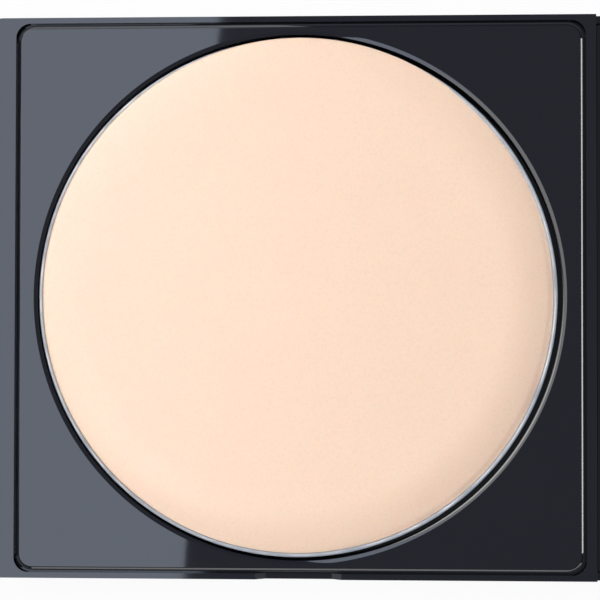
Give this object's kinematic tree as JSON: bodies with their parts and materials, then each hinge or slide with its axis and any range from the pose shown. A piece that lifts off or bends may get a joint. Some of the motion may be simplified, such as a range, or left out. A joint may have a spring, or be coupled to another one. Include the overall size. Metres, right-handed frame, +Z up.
{
  "type": "cream make-up compact",
  "caption": "Hinged make-up compact in glossy black plastic with a mirror in its lid, a push-button catch and a round metal pan of pale cream held in a lift-out square frame.",
  "frame": {"origin": "on the resting face of the base, below the axis of the round pan", "axes": "+Z up, +Y from the front catch towards the hinge, +X to the right seen from the front"},
  "size_m": [0.064, 0.1339, 0.0692],
  "materials": {
    "case_plastic": "moulded, high gloss",
    "frame_plastic": "moulded, high gloss",
    "catch_plastic": "moulded, gloss",
    "liner_plastic": "moulded, satin",
    "pan_metal": "drawn, bright",
    "adhesive": "soft, dull",
    "cream": "smooth poured cream, satin",
    "steel": "drawn",
    "mirror": "silvered glass"
  },
  "bodies": {
    "base": {"base_shell": "case_plastic", "front_cover": "case_plastic", "refill_frame": "frame_plastic", "pan": "pan_metal", "pan_adhesive": "adhesive", "cream": "cream", "catch_spring": "steel", "hinge_pin_left": "steel", "hinge_pin_right": "steel"},
    "lid": {"lid_shell": "case_plastic", "lid_liner": "liner_plastic", "mirror": "mirror", "mirror_tape": "adhesive"},
    "button": {"push_button": "catch_plastic"}
  },
  "joints": [
    {"name": "lid_hinge", "type": "hinge", "parent": "base", "child": "lid", "pos_m": [0, 0.038, 0.0081], "axis": [1, 0, 0], "range_deg": [0, 130]},
    {"name": "button_press", "type": "slide", "parent": "base", "child": "button", "axis": [0, 1, 0], "range_m": [0, 0.0009], "stiffness_N_per_m": 800, "springref_m": -0.001, "deforming": ["catch_spring"]}
  ]
}
